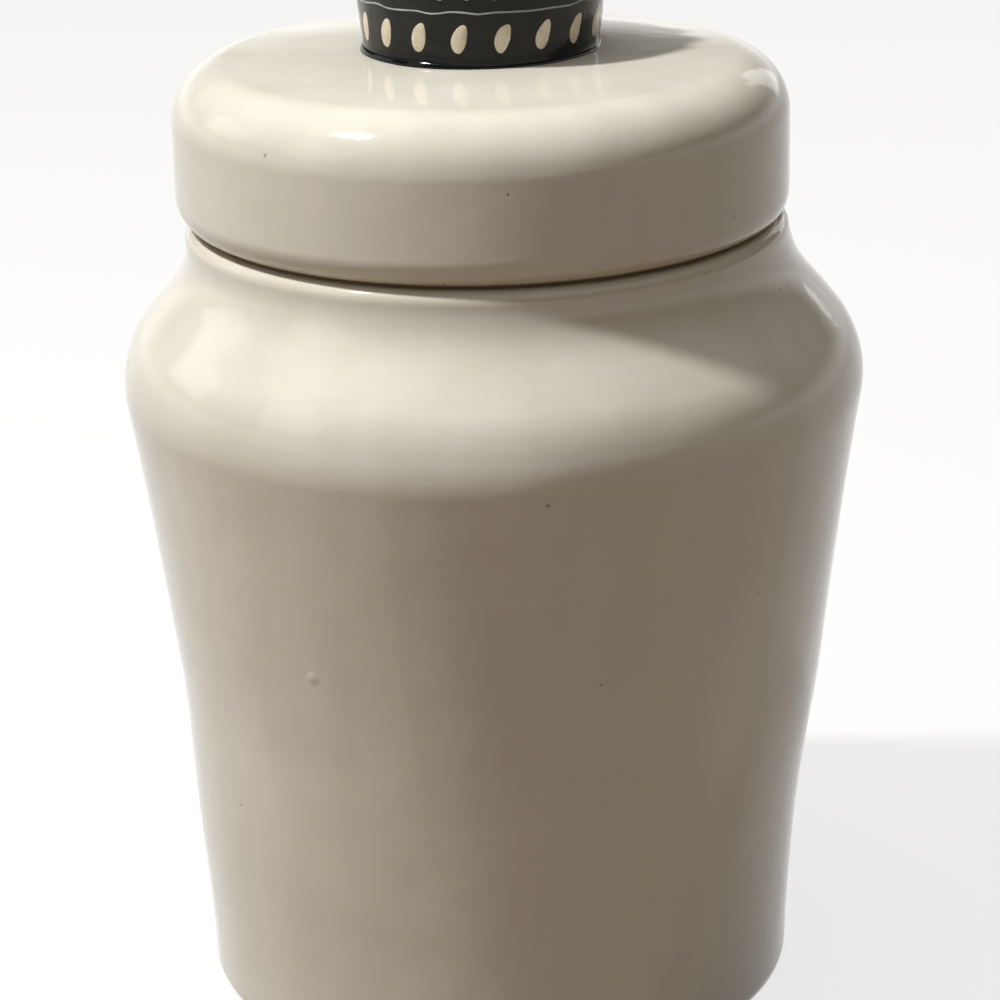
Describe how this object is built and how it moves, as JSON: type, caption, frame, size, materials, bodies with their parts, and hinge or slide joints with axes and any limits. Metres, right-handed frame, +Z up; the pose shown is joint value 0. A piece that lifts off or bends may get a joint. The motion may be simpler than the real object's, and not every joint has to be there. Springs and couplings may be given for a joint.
{
  "type": "treat canister",
  "caption": "Round-shouldered glazed ceramic treat canister with a thick lift-off lid, a seal ring in its mouth and a black crown-shaped knob.",
  "frame": {"origin": "centre of the jar's base, on the surface that it stands on", "axes": "+Z up along the jar's axis, -Y towards the picture's viewer, +X to the viewer's right"},
  "size_m": [0.18, 0.18, 0.2826],
  "materials": {
    "cream_glaze": "glossy cream glaze",
    "black_glaze": "glossy charcoal black glaze with painted marks",
    "seal_silicone": "matte pale silicone"
  },
  "bodies": {
    "jar": {"jar_body": "cream_glaze"},
    "seal": {"lid_seal": "seal_silicone"},
    "lid": {"lid": "cream_glaze", "crown_knob": "black_glaze"}
  },
  "joints": [
    {"name": "lid_lift", "type": "slide", "parent": "jar", "child": "seal", "axis": [0, 0, 1], "range_m": [0, 0.15]},
    {"name": "lid_turn", "type": "hinge", "parent": "seal", "child": "lid", "pos_m": [0, 0, 0.196], "axis": [0, 0, 1], "continuous": true}
  ]
}
